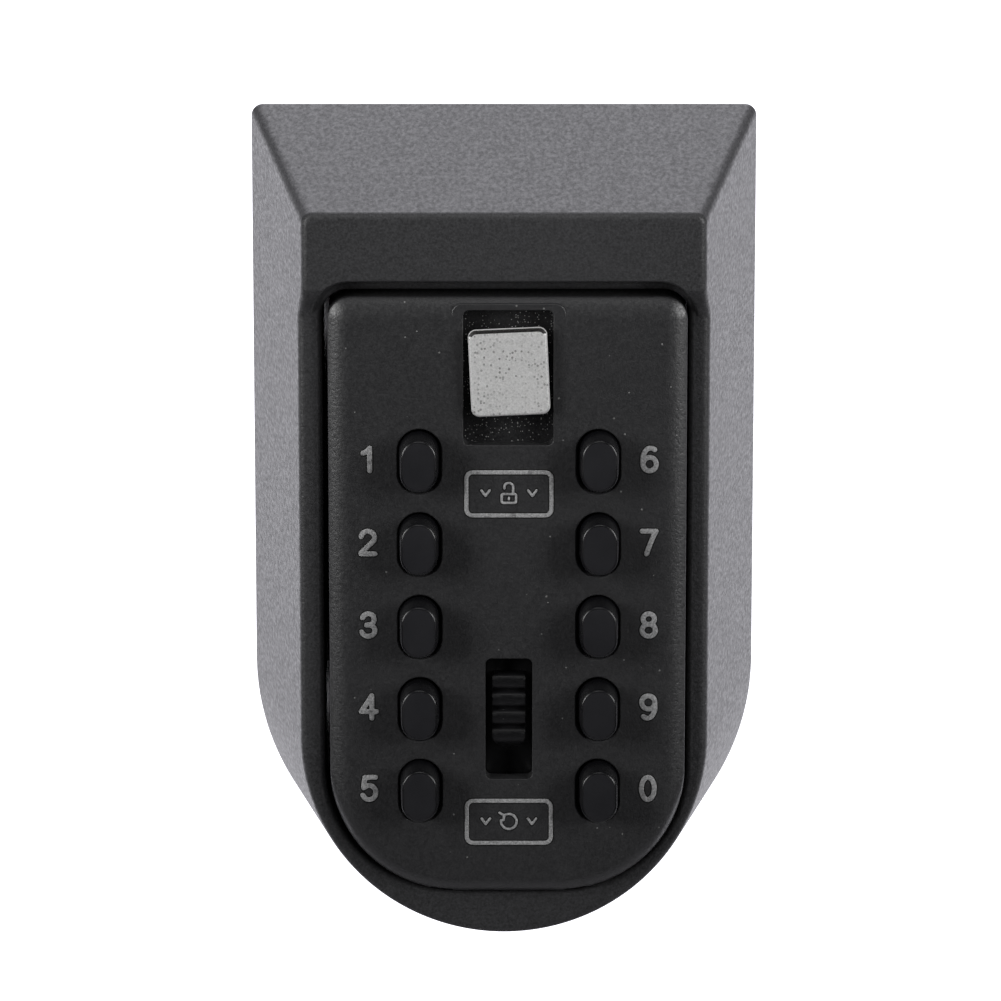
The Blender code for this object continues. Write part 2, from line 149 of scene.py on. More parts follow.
def flared(outline, d0, face, r, up=4.0, steps=6, foot=0.0):
    """Cutter whose wall runs from d0 to the surface at depth `face` and
    opens there into a round-over of radius r; outline(offset) gives loops
    of equal length.  `foot` leaves a small fillet at the bottom."""
    loops = []
    if foot:
        for i in range(steps):
            t = math.radians(90.0 * i / steps)
            loops.append(at_depth(outline(-foot * (1 - math.sin(t))),
                                  d0 + foot * (1 - math.cos(t))))
        loops.append(at_depth(outline(0.0), d0 + foot))
    else:
        loops.append(at_depth(outline(0.0), d0))
    for i in range(steps + 1):
        t = math.radians(90.0 * i / steps)
        loops.append(at_depth(outline(r * (1 - math.cos(t))),
                              face + 0.012 - r + r * math.sin(t)))
    loops.append(at_depth(outline(r), face + up))
    return loft(loops, 30)


def box(x0, x1, z0, z1, d0, d1):
    return plate([(x0, z0), (x1, z0), (x1, z1), (x0, z1)], d0, d1)


def along_x(profile, x0, x1):
    return loft([[(x, -d, z) for d, z in profile] for x in (x0, x1)])


def link(name, mesh, mat=None):
    ob = bpy.data.objects.new(name, mesh)
    bpy.context.scene.collection.objects.link(ob)
    if mat is not None and len(mesh.materials) < 2:
        mesh.materials.clear()
        mesh.materials.append(mat)
    return ob


def true_flats(ob):
    """Keep large flat faces flat beside their rounded edges."""
    mod = ob.modifiers.new("normals", "WEIGHTED_NORMAL")
    mod.keep_sharp = True
    mod.weight = 80


def applied(ob):
    graph = bpy.context.evaluated_depsgraph_get()
    graph.update()
    return bpy.data.meshes.new_from_object(ob.evaluated_get(graph))


def carve(mesh, tools):
    base = link("base", mesh)
    made = []
    for op, tool in tools:
        cutter = link("cutter", tool)
        mod = base.modifiers.new("boolean", "BOOLEAN")
        mod.operation = op
        mod.solver = "EXACT"
        mod.object = cutter
        made.append(cutter)
    out = applied(base)
    for ob in made + [base]:
        data = ob.data
        bpy.data.objects.remove(ob, do_unlink=True)
        bpy.data.meshes.remove(data)
    bm = bmesh.new()
    bm.from_mesh(out)
    bmesh.ops.remove_doubles(bm, verts=bm.verts, dist=2e-7)
    bmesh.ops.dissolve_degenerate(bm, edges=bm.edges, dist=2e-7)
    # join coplanar faces so that the edges left are the real ones
    bmesh.ops.dissolve_limit(bm, angle_limit=math.radians(0.4),
                             verts=bm.verts, edges=bm.edges)
    bm.to_mesh(out)
    bm.free()
    return out


def bevelled(mesh, width, segments=3, angle=32, profile=0.5):
    """Round every real edge by `width` millimetres."""
    ob = link("base", mesh)
    mod = ob.modifiers.new("bevel", "BEVEL")
    mod.width = width * MM
    mod.segments = segments
    mod.limit_method = "ANGLE"
    mod.angle_limit = math.radians(angle)
    mod.profile = profile
    mod.use_clamp_overlap = True
    mod.miter_outer = "MITER_ARC"
    out = applied(ob)
    data = ob.data
    bpy.data.objects.remove(ob, do_unlink=True)
    bpy.data.meshes.remove(data)
    return out


CUT, JOIN = "DIFFERENCE", "UNION"


def placed(name, mesh, mat, body, slot, *nodes, about=None):
    """Link a piece, ride it on its body and let it stand for CAD nodes.
    All bodies but the housing hang DOOR_X to the right of the middle."""
    if body != "housing":
        mesh.transform(mathutils.Matrix.Translation((DOOR_X * MM, 0.0, 0.0)))
    ob = link(name, mesh, mat)
    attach(ob, body)
    if nodes:
        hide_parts(*nodes)
    return ob


def button_places():
    out = []
    for i, digit in enumerate(DIGITS):
        out.append((digit, -COL_X if i < 5 else COL_X,
                    ROW_TOP - ROW_PITCH * (i % 5)))
    return out


# ---- materials -------------------------------------------------------------
class Mat:
    """Small helper round a Principled material."""

    def __init__(self, name, colour, rough, metal=0.0):
        self.m = bpy.data.materials.new(name)
        self.m.use_nodes = True
        self.t = self.m.node_tree
        self.sh = self.t.nodes["Principled BSDF"]
        self.sh.inputs["Base Color"].default_value = (*colour, 1.0)
        self.sh.inputs["Roughness"].default_value = rough
        self.sh.inputs["Metallic"].default_value = metal
        self.coord = self.t.nodes.new("ShaderNodeTexCoord").outputs["Object"]

    def node(self, kind, **values):
        n = self.t.nodes.new(kind)
        for key, value in values.items():
            if hasattr(n, key):
                setattr(n, key, value)
            else:
                n.inputs[key.replace("_", " ")].default_value = value
        return n

    def link(self, a, b):
        self.t.links.new(a, b)

    def noise(self, scale, detail=2.0, rough=0.5, stretch=None):
        n = self.node("ShaderNodeTexNoise")
        n.inputs["Scale"].default_value = scale
        n.inputs["Detail"].default_value = detail
        n.inputs["Roughness"].default_value = rough
        if stretch is None:
            self.link(self.coord, n.inputs["Vector"])
        else:
            mp = self.node("ShaderNodeMapping")
            mp.inputs["Scale"].default_value = stretch
            self.link(self.coord, mp.inputs["Vector"])
            self.link(mp.outputs["Vector"], n.inputs["Vector"])
        return n.outputs["Fac"]

    def voronoi(self, scale, feature="F1"):
        n = self.node("ShaderNodeTexVoronoi")
        n.feature = feature
        n.inputs["Scale"].default_value = scale
        self.link(self.coord, n.inputs["Vector"])
        return n

    def ramp(self, fac, stops):
        n = self.node("ShaderNodeValToRGB")
        els = n.color_ramp.elements
        while len(els) < len(stops):
            els.new(0.5)
        for e, (pos, col) in zip(els, stops):
            e.position = pos
            e.color = (*col, 1.0) if len(col) == 3 else col
        self.link(fac, n.inputs["Fac"])
        return n.outputs["Color"]

    def span(self, fac, lo, hi, to_lo, to_hi):
        n = self.node("ShaderNodeMapRange")
        n.inputs["From Min"].default_value = lo
        n.inputs["From Max"].default_value = hi
        n.inputs["To Min"].default_value = to_lo
        n.inputs["To Max"].default_value = to_hi
        self.link(fac, n.inputs["Value"])
        return n.outputs["Result"]

    def mix(self, fac, a, b, blend="MIX"):
        n = self.t.nodes.new("ShaderNodeMix")
        n.data_type = "RGBA"
        n.blend_type = blend
        ins = [s for s in n.inputs if s.type == "RGBA"]
        f = [s for s in n.inputs if s.type == "VALUE"][0]
        if isinstance(fac, (int, float)):
            f.default_value = fac
        else:
            self.link(fac, f)
        for sock, v in zip(ins, (a, b)):
            if isinstance(v, tuple):
                sock.default_value = (*v, 1.0)
            else:
                self.link(v, sock)
        return [s for s in n.outputs if s.type == "RGBA"][0]

    def math(self, op, a, b):
        n = self.node("ShaderNodeMath")
        n.operation = op
        for sock, v in zip(n.inputs, (a, b)):
            if isinstance(v, (int, float)):
                sock.default_value = v
            else:
                self.link(v, sock)
        return n.outputs["Value"]

    def bump(self, height, strength, dist_mm):
        n = self.node("ShaderNodeBump")
        n.inputs["Strength"].default_value = strength
        n.inputs["Distance"].default_value = dist_mm * MM
        self.link(height, n.inputs["Height"])
        self.link(n.outputs["Normal"], self.sh.inputs["Normal"])
        return n


def powder_coat(name, dark, light, rough, grain=0.05, dust=0.75, cells=330.0,
                pale=0.34, sheen=0.5, dot=0.13):
    """Fine-textured powder coat: pebbled surface, tiny tone changes, dust."""
    k = Mat(name, dark, rough)
    # the walls run back at a shallow angle, so the grain is longer in depth
    along = (1.0, 0.38, 1.0)
    fine = k.noise(3800.0, 2.0, 0.55, along)
    mid = k.noise(2000.0, 2.0, 0.5, along)
    broad = k.noise(38.0, 3.0, 0.55)
    tone = k.mix(k.span(fine, 0.32, 0.68, 0.0, 1.0), dark, light)
    tone = k.mix(k.span(broad, 0.35, 0.65, 0.0, 0.25), tone, light)
    # sparse pale dust specks
    vor = k.voronoi(cells)
    speck = k.math("LESS_THAN", vor.outputs["Distance"], cells * dot * MM)
    sep = k.node("ShaderNodeSeparateColor")
    k.link(vor.outputs["Color"], sep.inputs["Color"])
    chosen = k.math("GREATER_THAN", sep.outputs["Red"], dust)
    spot = k.math("MULTIPLY", speck, chosen)
    spot = k.math("MULTIPLY", spot, k.math("MULTIPLY", sep.outputs["Green"], 0.7))
    tone = k.mix(spot, tone, (pale, pale, pale * 0.98))
    k.link(tone, k.sh.inputs["Base Color"])
    k.link(k.span(mid, 0.3, 0.7, rough - 0.07, rough + 0.1),
           k.sh.inputs["Roughness"])
    height = k.math("ADD", k.math("MULTIPLY", fine, 0.5), k.math("MULTIPLY", mid, 1.0))
    k.bump(height, 0.8, grain)
    k.sh.inputs["Specular IOR Level"].default_value = sheen
    return k.m


def gloss_plastic(name, colour, rough):
    k = Mat(name, colour, rough)
    smudge = k.noise(160.0, 3.0, 0.6)
    k.link(k.span(smudge, 0.35, 0.7, rough - 0.03, rough + 0.05),
           k.sh.inputs["Roughness"])
    k.link(k.mix(k.span(smudge, 0.3, 0.7, 0.0, 1.0), colour,
                 tuple(c * 1.2 for c in colour)), k.sh.inputs["Base Color"])
    k.bump(k.noise(1500.0, 2.0), 0.12, 0.01)
    return k.m


def satin_plastic(name, colour, rough):
    k = Mat(name, colour, rough)
    grain = k.noise(2200.0, 2.0)
    k.link(k.span(grain, 0.3, 0.7, rough - 0.08, rough + 0.1),
           k.sh.inputs["Roughness"])
    vor = k.voronoi(900.0)
    sep = k.node("ShaderNodeSeparateColor")
    k.link(vor.outputs["Color"], sep.inputs["Color"])
    dust = k.math("MULTIPLY", k.math("LESS_THAN", vor.outputs["Distance"], 0.12),
                  k.math("GREATER_THAN", sep.outputs["Red"], 0.88))
    dust = k.math("MULTIPLY", dust, 0.2)
    k.link(k.mix(dust, colour, (0.25, 0.25, 0.25)), k.sh.inputs["Base Color"])
    k.bump(grain, 0.3, 0.02)
    return k.m


def plated_zinc(name, dark=(0.60, 0.598, 0.59), light=(0.99, 0.988, 0.98),
                pits=0.55, metal=0.2):
    """Tumbled and plated die casting: fine frosted grain with dark pits."""
    k = Mat(name, light, 0.42, metal)
    grain = k.noise(4200.0, 3.0, 0.65)
    mottle = k.noise(900.0, 3.0, 0.6)
    vor = k.voronoi(2400.0)
    sep = k.node("ShaderNodeSeparateColor")
    k.link(vor.outputs["Color"], sep.inputs["Color"])
    pit = k.math("MULTIPLY", k.math("LESS_THAN", vor.outputs["Distance"], 0.38),
                 k.math("GREATER_THAN", sep.outputs["Red"], pits))
    pit = k.math("MULTIPLY", pit, k.span(sep.outputs["Green"], 0.0, 1.0, 0.2, 0.8))
    # pits gather in loose drifts
    pit = k.math("MULTIPLY", pit, k.span(k.noise(260.0, 2.0), 0.42, 0.6, 0.35, 1.0))
    tone = k.mix(k.span(grain, 0.3, 0.7, 0.0, 1.0), dark, light)
    middle = tuple((a + b) / 2 for a, b in zip(dark, light))
    tone = k.mix(k.span(mottle, 0.3, 0.7, 0.0, 0.5), tone, middle)
    tone = k.mix(pit, tone, (0.12, 0.115, 0.11))
    k.link(tone, k.sh.inputs["Base Color"])
    k.link(k.span(mottle, 0.3, 0.7, 0.34, 0.5), k.sh.inputs["Roughness"])
    height = k.math("SUBTRACT", grain, k.math("MULTIPLY", pit, 1.2))
    k.bump(height, 0.35, 0.02)
    return k.m


def sheet_steel(name, colour, rough, stretch):
    """Rolled, zinc-plated sheet with fine lines and a faint colour cast."""
    k = Mat(name, colour, rough, 1.0)
    lines = k.noise(900.0, 3.0, 0.6, stretch)
    cloud = k.noise(60.0, 3.0, 0.6)
    warm = tuple(c * f for c, f in zip(colour, (1.06, 1.0, 0.88)))
    k.link(k.mix(k.span(cloud, 0.3, 0.7, 0.0, 1.0), colour, warm),
           k.sh.inputs["Base Color"])
    k.link(k.span(lines, 0.3, 0.7, rough - 0.08, rough + 0.12),
           k.sh.inputs["Roughness"])
    k.bump(lines, 0.2, 0.01)
    return k.m


def turned_metal(name, colour, rough):
    """Turned or drawn metal with fine rings along Y."""
    k = Mat(name, colour, rough, 1.0)
    rings = k.noise(1200.0, 2.0, 0.5, (0.15, 1.0, 0.15))
    k.link(k.span(rings, 0.3, 0.7, rough - 0.08, rough + 0.1),
           k.sh.inputs["Roughness"])
    k.link(k.mix(k.span(k.noise(220.0), 0.3, 0.7, 0.0, 0.5), colour,
                 tuple(c * 0.72 for c in colour)), k.sh.inputs["Base Color"])
    k.bump(rings, 0.2, 0.01)
    return k.m


def marking_paint(name):
    """Grey paint in the engraved digits and frames, grainy and worn."""
    k = Mat(name, (0.40, 0.40, 0.405), 0.6)
    grain = k.noise(3800.0, 3.0, 0.7)
    worn = k.noise(1100.0, 3.0, 0.6)
    tone = k.mix(k.span(grain, 0.36, 0.64, 0.0, 1.0), (0.26, 0.26, 0.265),
                 (0.54, 0.54, 0.54))
    tone = k.mix(k.span(worn, 0.56, 0.7, 0.0, 0.6), tone, (0.09, 0.09, 0.09))
    k.link(tone, k.sh.inputs["Base Color"])
    k.link(k.span(grain, 0.3, 0.7, 0.5, 0.75), k.sh.inputs["Roughness"])
    k.bump(grain, 0.5, 0.04)
    return k.m


COAT = powder_coat("powder_coat_body", (0.027, 0.027, 0.028), (0.060, 0.060, 0.063),
                   0.46, 0.085, 0.9)
COAT_LID = powder_coat("powder_coat_door", (0.022, 0.022, 0.023),
                       (0.040, 0.040, 0.042), 0.40, 0.055, 0.4, 480.0, 0.45, 0.85)
# recess floor: pale dust specks on a base painted darker than the door's coat, as painted
# shade
DUST_AND_SHADE = powder_coat("recess_dust_and_painted_shade", (0.007, 0.007, 0.008), (0.024, 0.024, 0.025),
                    0.55, 0.06, 0.45, 3600.0, 0.55, 0.3, 0.075)
CAP = gloss_plastic("gloss_black_plastic", (0.0075, 0.0075, 0.0088), 0.27)
# a lighter copy of the black plastic for the caps' front faces, as painted light
CAP_LIT_FACE = gloss_plastic("gloss_black_painted_lit_face", (0.0215, 0.0215, 0.0242), 0.33)
SLIDE = satin_plastic("satin_black_plastic", (0.0058, 0.0058, 0.0066), 0.42)
ZINC = plated_zinc("plated_zinc")
# a brighter copy of the zinc for the lever's upward and sideways faces, as painted
# highlight
ZINC_PAINTED_HIGHLIGHT = plated_zinc("plated_zinc_painted_highlight", (0.85, 0.85, 0.84), (0.99, 0.99, 0.98),
                        0.95, 0.3)
# a near-black copy of the zinc for a strip of the lever's top bevel, as painted shade
ZINC_PAINTED_SHADE = plated_zinc("plated_zinc_painted_shade", (0.008, 0.008, 0.008), (0.05, 0.048, 0.046),
                        0.5, 0.5)
BRASS = turned_metal("pin_brass", (0.70, 0.52, 0.24), 0.34)
WIRE = turned_metal("spring_wire", (0.48, 0.48, 0.49), 0.30)
SCREW = turned_metal("screw_steel", (0.46, 0.46, 0.47), 0.34)
ROD = turned_metal("rod_steel", (0.55, 0.55, 0.56), 0.28)
GUIDE = sheet_steel("guide_sheet", (0.56, 0.57, 0.58), 0.36, (1.0, 1.0, 0.06))
LATCH = sheet_steel("latch_sheet", (0.60, 0.60, 0.58), 0.34, (0.06, 1.0, 1.0))
RESET = sheet_steel("reset_sheet", (0.50, 0.51, 0.52), 0.38, (1.0, 1.0, 0.06))
COVER = powder_coat("black_sheet", (0.016, 0.016, 0.017), (0.032, 0.032, 0.034),
                    0.42, 0.02, 0.95)
PAINT = marking_paint("marking_paint")
# near-black coat for the bead round the markings, painted shade of engraved grooves
PAINTED_GROOVE_SHADE = powder_coat("groove_shade", (0.006, 0.006, 0.006), (0.010, 0.010, 0.010),
                     0.6, 0.02, 1.0)


# ---- housing ---------------------------------------------------------------
EDGE_R = 0.85            # round-over of the housing's front edges


def surface_depth(z):
    """Depth of the housing's front: rim below, brow above, S-curve between."""
    t = min(max((z - 35.4) / 5.3, 0.0), 1.0)
    return RIM_D + (BROW_D - RIM_D) * t * t * (3 - 2 * t)


def body_point(kind, u, d, inset):
    """Point of the right half of the housing's outline at depth d."""
    hw = BODY_W / 2 - SIDE_SLOPE * d - inset
    top = BODY_H / 2 - ROOF_SLOPE * d - inset
    r = TOP_CORNER_R - inset
    a = math.radians(u)
    if kind == "corner":
        return hw - r + r * math.cos(a), top - r + r * math.sin(a)
    if kind == "side":
        return hw, u
    return hw * math.cos(a), -BODY_H / 2 + BODY_W / 2 + hw * math.sin(a)


def housing_base():
    stations = [("corner", 90.0 - 9.0 * i) for i in range(11)]
    z = 44.0
    while z > -21.0:
        stations.append(("side", z))
        z -= 0.35 if 35.0 < z < 41.5 else 4.0
    stations += [("round", -1.5 * i) for i in range(60)] + [("round", -89.4)]
    rings = []
    for back, inset in ((0.0, 0.5), (0.12, 0.16), (0.45, 0.0)):
        rings.append([body_point(k, u, back, inset) + (back,)
                      for k, u in stations])
    for i in range(7):
        t = math.radians(15.0 * i)
        ring = []
        for k, u in stations:
            top = BROW_D if k == "corner" else RIM_D
            if k == "side":
                top = surface_depth(u)
            d = top - EDGE_R + EDGE_R * math.sin(t)
            ring.append(body_point(k, u, d, EDGE_R * (1 - math.cos(t))) + (d,))
        rings.append(ring)
    bm = bmesh.new()
    verts = []
    for ring in rings:
        right = [bm.verts.new((x, -d, z)) for x, z, d in ring]
        left = [bm.verts.new((-x, -d, z)) for x, z, d in ring]
        verts.append((right, left))
    n = len(stations)
    for (ra, la), (rb, lb) in zip(verts, verts[1:]):
        for i in range(n - 1):
            bm.faces.new((ra[i], ra[i + 1], rb[i + 1], rb[i]))
            bm.faces.new((la[i + 1], la[i], lb[i], lb[i + 1]))
        bm.faces.new((la[0], ra[0], rb[0], lb[0]))
        bm.faces.new((ra[-1], la[-1], lb[-1], rb[-1]))
    bm.faces.new(verts[0][0] + list(reversed(verts[0][1])))
    right, left = verts[-1]
    for i in range(n - 1):
        bm.faces.new((right[i], right[i + 1], left[i + 1], left[i]))
    return finish_bm(bm, 40)


def make_housing():
    az = BROW_UNDER - BROW_R

    def arch(o):
        r = BROW_R + o
        ax = BROW_ARC_HW - BROW_R
        return (arc(ax, az, r, 0, 90, 20) + arc(-ax, az, r, 90, 180, 20)
                + [(-ax - r, 34.0), (ax + r, 34.0)])

    def opening(o):
        return door_outline(OPEN_HW + o, OPEN_TOP + o, OPEN_BOT - o,
                            OPEN_TOP_R + o, OPEN_BOT_R + o, OPEN_X)

    tools = [(CUT, flared(arch, RIM_D + 0.002, BROW_D, 0.75, 3.0, 6, 0.42)),
             (CUT, flared(opening, BACK_WALL, RIM_D, 0.74, 6.0, 6)),
             (CUT, box(DOOR_X - 7.0, DOOR_X + 7.0, 37.0, 42.6, 32.3, 35.3))]
    for sx in (-1, 1):
        for sz in (-1, 1):
            tools.append((CUT, plate(circle(2.6, 48, sx * 15.0, sz * 27.0),
                                     -2.0, BACK_WALL + 2.0)))
    p, q = PIVOT_D, PIVOT_Z
    seat = [(p + SEAT_R * math.cos(math.radians(a)),
             q - SEAT_R * math.sin(math.radians(a))) for a in range(0, 181, 12)]
    hook = ([(27.0, OPEN_BOT - 1.5), (p - 3.7, OPEN_BOT - 1.5), (p - 3.7, q - 1.1),
             (p + 0.3, q - 1.1), (p + 0.85, q - 0.8), (p + 1.15, q),
             (p + 1.1, q + 0.9), (p + SEAT_R, q + 0.9)]
            + seat + [(p - SEAT_R, q + 0.9), (27.0, q + 0.9)])
    for sx in (-1, 1):
        x = DOOR_X + sx * 9.0
        tools.append((JOIN, along_x(hook, x - 1.2, x + 1.2)))
    mesh = bevelled(carve(housing_base(), tools), 0.1, 2, 50)
    true_flats(placed("housing_shell", shade(mesh, 40), COAT, "housing",
                      "powder_coat_body", "housing"))


# ---- door ------------------------------------------------------------------
def make_lid():
    hw, top, bot, f = LID_HW, LID_TOP, LID_BOT, LID_FILLET

    def outline(s):
        return door_outline(hw - s, top - s, bot + s, max(LID_TOP_R - s, 0.12),
                            LID_BOT_R - s, LID_X)

    # sides and top: a tight roll at the edge that runs into a wide, shallow
    # crown; foot: the round-over about the hinge axis
    roll, lean, wide = 0.36, math.radians(35.0), 2.95
    big = wide / math.sin(lean)
    fall = big * (1 - math.cos(lean)) + roll * math.cos(lean)
    start = roll * (1 - math.cos(math.pi / 2 - lean))
    steps = []
    for i in range(8):
        t = (math.pi / 2 - lean) * i / 7
        steps.append((roll * (1 - math.cos(t)), -fall + roll * math.sin(t)))
    for i in range(1, 13):
        t = lean * (1 - i / 12)
        steps.append((start + wide - big * math.sin(t), -big * (1 - math.cos(t))))
    loops = [at_depth(outline(0.25), LID_REAR), at_depth(outline(0.0), LID_REAR + 0.25)]
    rest = outline(0.0)
    for i, (s, drop) in enumerate(steps):
        t = math.radians(90.0 * i / (len(steps) - 1))
        round_s = f * (1 - math.cos(t))
        round_drop = f * (math.sin(t) - 1)
        ring = []
        for (ax, az), (bx, bz), (_, z) in zip(outline(s), outline(round_s), rest):
            w = min(max((-25.0 - z) / 8.5, 0.0), 1.0)
            w = w * w * (3 - 2 * w)
            ring.append((ax + (bx - ax) * w,
                         -(LID_FACE + drop + (round_drop - drop) * w),
                         az + (bz - az) * w))
        loops.append(ring)
    base = loft(loops)
    w = LID_SKIRT
    inner = door_outline(hw - w, top - w, bot + w, 1.2, LID_BOT_R - w, LID_X)
    tools = [(CUT, plate(inner, LID_REAR - 3.0, LID_FACE - LID_PLATE))]
    # pad round the top of the lever recess, standing out of the rounded edge
    tools.append((JOIN, loft(
        [at_depth(round_rect(-7.55 + e, 7.5 - e, 28.0, 37.9 - e, 1.3, 10), d)
         for e, d in ((0.0, 43.8), (0.0, LID_FACE - 0.13), (0.04, LID_FACE - 0.04),
                      (0.13, LID_FACE + 0.012))])))
    tools.append((JOIN, box(-7.4, 7.4, 17.4, 37.6, 42.4, 44.6)))
    tools.append((JOIN, box(-12.5, 12.5, -41.8, -37.9, 42.3, 44.5)))
    tools.append((JOIN, box(-2.6, 2.6, 8.4, 9.8, 37.5, 44.5)))
    tools.append((JOIN, box(-2.6, 2.6, -41.9, -38.5, 37.5, 44.5)))
    for x, z in BOSS:
        tools.append((JOIN, plate(circle(2.6, 40, x, z), 36.3, 44.5)))
        tools.append((JOIN, plate(circle(1.9, 40, x, z), 32.9, 37.3)))
        tools.append((CUT, plate(circle(1.15, 24, x, z), 32.0, 38.5)))
    for _, x, z in button_places():
        tools.append((CUT, flared(
            lambda o: stadium(HOLE_W + 2 * o, HOLE_H + 2 * o, 24, x, z),
            43.0, LID_FACE, 0.28)))
    tools.append((CUT, flared(
        lambda o: round_rect(-6.05 - o, 5.88 + o, 18.85 - o, 37.05 + o, 0.8 + o, 10),
        43.9, LID_FACE, 0.14)))
    tools.append((CUT, box(-2.9, 2.9, 22.9, 32.9, 41.0, 45.0)))
    tools.append((CUT, flared(
        lambda o: round_rect(-3.12 - o, 3.12 + o, -26.95 - o, -10.28 + o, 0.8 + o, 10),
        43.0, LID_FACE, 0.12)))
    tools.append((CUT, box(-6.3, 6.3, 35.6, 40.0, 32.8, 35.3)))
    rod = [(PIVOT_D + SEAT_R * math.cos(2 * math.pi * i / 24),
            PIVOT_Z + SEAT_R * math.sin(2 * math.pi * i / 24)) for i in range(24)]
    tools.append((CUT, along_x(rod, -12.4, 18.0)))
    for sx in (-1, 1):
        tools.append((CUT, box(sx * 9.0 - 1.5, sx * 9.0 + 1.5, -44.0, -38.9,
                               30.0, 45.5)))
    mesh = bevelled(carve(base, tools), 0.09, 2, 50)
    shade(mesh, 40)
    # the recess floor holds dust, and its coat is painted darker than the door's as
    # painted shade
    while len(mesh.materials) < 2:
        mesh.materials.append(COAT_LID)
    mesh.materials[1] = DUST_AND_SHADE
    for face in mesh.polygons:
        c = face.center
        floor = (abs(c.y + 0.0439) < 2e-5 and abs(c.x) < 0.0062
                 and 0.0187 < c.z < 0.0372)
        face.material_index = 1 if floor else 0
    true_flats(placed("door_casting", mesh, COAT_LID, "door",
                      "powder_coat_door", "lid"))


# ---- buttons ---------------------------------------------------------------
def make_caps():
    loops = [at_depth(circle(1.85, 48), 45.6), at_depth(circle(1.85, 48), 42.2),
             at_depth(stadium(7.0, 10.2, 23), 42.2),
             at_depth(stadium(7.0, 10.2, 23), 43.4),
             at_depth(stadium(5.3, 7.9, 23), 43.4),
             at_depth(stadium(5.3, 7.9, 23), 46.2),
             at_depth(stadium(5.2, 7.7, 23), 46.7)]
    w0, h0 = 4.95, 7.16
    c = 0.5
    loops.append(at_depth(stadium(w0, h0, 23), CAP_D - c - 0.05))
    for i in range(1, 7):
        t = math.radians(90.0 * i / 6)
        s = c * (1 - math.cos(t))
        loops.append(at_depth(stadium(w0 - 2 * s, h0 - 2 * s, 23),
                              CAP_D - c - 0.05 + c * math.sin(t)))
    for s, d in ((0.5, CAP_D - 0.03), (1.1, CAP_D - 0.01), (1.8, CAP_D)):
        loops.append(at_depth(stadium(w0 - 2 * s, h0 - 2 * s, 23), d))
    source = loft(loops, 35)
    source.materials.append(CAP)
    source.materials.append(CAP_LIT_FACE)
    # front-facing faces take the lighter copy of the plastic as painted light; the sides
    # keep the darker plastic
    for face in source.polygons:
        face.material_index = 1 if face.normal.y < -0.93 else 0
    for digit, x, z in button_places():
        # each cap sits a little differently in the play of its hole
        dx = (-0.05 if x < 0 else 0.16) + random.uniform(-0.05, 0.05)
        dz = 0.17 + random.uniform(-0.06, 0.06)
        mesh = source.copy()
        turn = mathutils.Matrix.Rotation(math.radians(random.uniform(-0.8, 0.8)),
                                         4, "Y")
        mesh.transform(mathutils.Matrix.Translation(
            ((x + dx) * MM, 0.0, (z + dz) * MM)) @ turn)
        placed("cap_" + digit, mesh, CAP, "push_button_" + digit,
               "gloss_black_plastic", "button_" + digit)


# ---- lever, slider ---------------------------------------------------------
def make_lever():
    x0, x1, z0, z1 = -5.2, 5.25, 23.12, 34.88
    zc = (z0 + z1) / 2
    loops = [at_depth(round_rect(x0 + 0.3, x1 - 0.3, z0 + 0.3, z1 - 0.75, 0.9, 10), 45.2),
             at_depth(round_rect(x0, x1, z0, z1 - 0.45, 1.1, 10), 45.5),
             at_depth(round_rect(x0, x1, z0, z1 - 0.12, 1.1, 10), 46.9)]
    # sharp lip and broad bevel along the top, round-over at the sides and foot
    for s, k, u in ((0.0, 0.0, 0.0), (0.02, 0.1, 0.02), (0.06, 0.2, 0.09),
                    (0.12, 0.29, 0.24), (0.21, 0.36, 0.42), (0.32, 0.405, 0.56),
                    (0.42, 0.42, 0.66)):
        loops.append(at_depth(round_rect(x0 + s, x1 - s, z0 + s, z1 - u,
                                         1.1 - s * 0.6, 10), 47.58 + k))
    base = loft(loops, 30)
    mesh = carve(base, [(JOIN, box(-2.6, 2.6, 27.0, 32.5, 35.1, 46.0))])
    mesh = bevelled(mesh, 0.06, 2, 60)
    for mat in (ZINC, ZINC_PAINTED_HIGHLIGHT, ZINC_PAINTED_SHADE):
        mesh.materials.append(mat)
    mesh.materials[0] = ZINC
    # upward and sideways faces of the side wall take the brighter zinc as painted
    # highlight; a strip of the top bevel takes the near-black zinc as painted shade
    for face in mesh.polygons:
        c, n = face.center, face.normal
        d = -c.y * 1000
        face.material_index = 0
        if 47.2 < d < 47.79 and (n.z > 0.35 or abs(n.x) > 0.5):
            face.material_index = 1
        elif 47.79 <= d < 47.995 and n.z > 0.18 and c.z * 1000 > z1 - 1.2:
            face.material_index = 2
    about = mathutils.Matrix.Translation((0.0, 0.0, zc * MM))
    turn = about @ mathutils.Matrix.Rotation(math.radians(2.6), 4, "Y").inverted() \
        @ about.inverted()
    mesh.transform(turn)
    true_flats(placed("lever_casting", shade(mesh, 35), ZINC, "latch",
                      "plated_zinc", "open_lever"))


